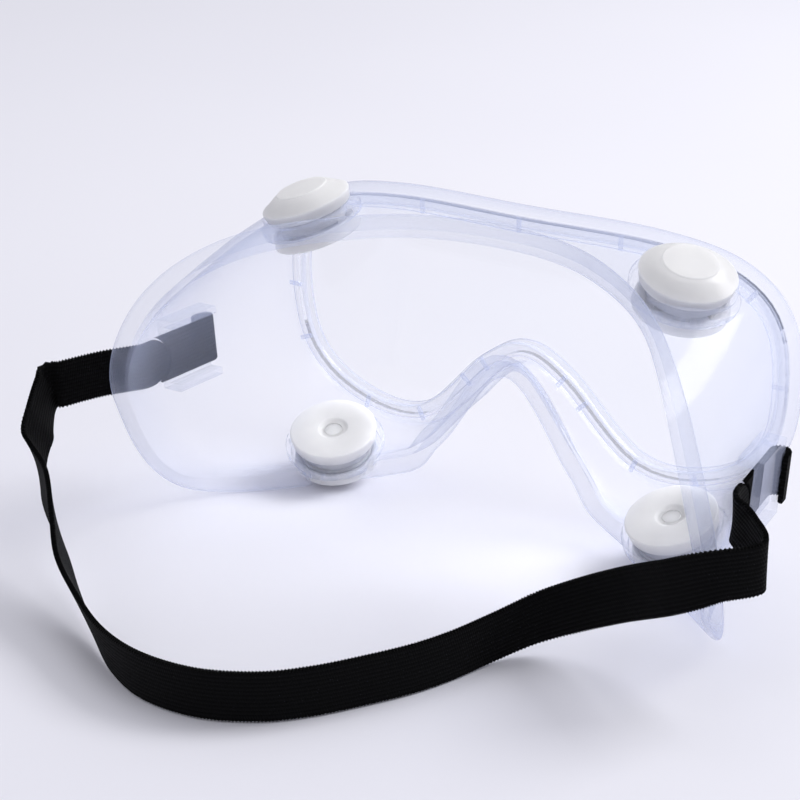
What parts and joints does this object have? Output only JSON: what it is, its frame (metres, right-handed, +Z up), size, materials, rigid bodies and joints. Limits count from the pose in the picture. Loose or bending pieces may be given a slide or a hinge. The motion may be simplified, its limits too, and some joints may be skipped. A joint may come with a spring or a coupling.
{
  "type": "safety goggles",
  "caption": "Indirect-vent splash goggles: clear soft face frame with a flat clear lens, capped side vents, strap lugs and a black elastic head strap",
  "frame": {"origin": "On the surface the goggles rest on, under the middle of the face frame, halfway between its sides and between its front and back; the head strap is not counted", "axes": "+Z up, +X towards the wearer's left, +Y towards the face, so that the lens looks along -Y"},
  "size_m": [0.184, 0.1304, 0.08],
  "materials": {
    "clear_vinyl": "soft clear moulded vinyl with a faint blue tint",
    "clear_lens": "polished clear sheet",
    "white_seat": "satin, slightly milky",
    "white_cap": "satin white",
    "black_elastic": "woven elastic with fine lengthwise ribs"
  },
  "bodies": {
    "goggles": {"frame": "clear_vinyl", "lens": "clear_lens", "lug_left": "clear_vinyl", "lug_right": "clear_vinyl", "strap_end_left": "black_elastic", "strap_end_right": "black_elastic", "vent_seat_upper_left": "white_seat", "vent_seat_upper_right": "white_seat", "vent_seat_lower_left": "white_seat", "vent_seat_lower_right": "white_seat"},
    "head_strap": {"strap": "black_elastic"},
    "cap_upper_left": {"vent_cap_upper_left": "white_cap"},
    "cap_upper_right": {"vent_cap_upper_right": "white_cap"},
    "cap_lower_left": {"vent_cap_lower_left": "white_cap"},
    "cap_lower_right": {"vent_cap_lower_right": "white_cap"}
  },
  "joints": [
    {"name": "strap_swing", "type": "hinge", "parent": "goggles", "child": "head_strap", "pos_m": [0, 0.019, 0.037], "axis": [1, 0, 0], "range_deg": [0, 30]},
    {"name": "upper_left_cap_pull", "type": "slide", "parent": "goggles", "child": "cap_upper_left", "axis": [0.2508, 0.1705, 0.9529], "range_m": [0, 0.006]},
    {"name": "upper_right_cap_pull", "type": "slide", "parent": "goggles", "child": "cap_upper_right", "axis": [-0.2508, 0.1705, 0.9529], "range_m": [0, 0.006]},
    {"name": "lower_left_cap_pull", "type": "slide", "parent": "goggles", "child": "cap_lower_left", "axis": [0.0999, -0.2996, -0.9488], "range_m": [0, 0.006]},
    {"name": "lower_right_cap_pull", "type": "slide", "parent": "goggles", "child": "cap_lower_right", "axis": [-0.0999, -0.2996, -0.9488], "range_m": [0, 0.006]}
  ]
}
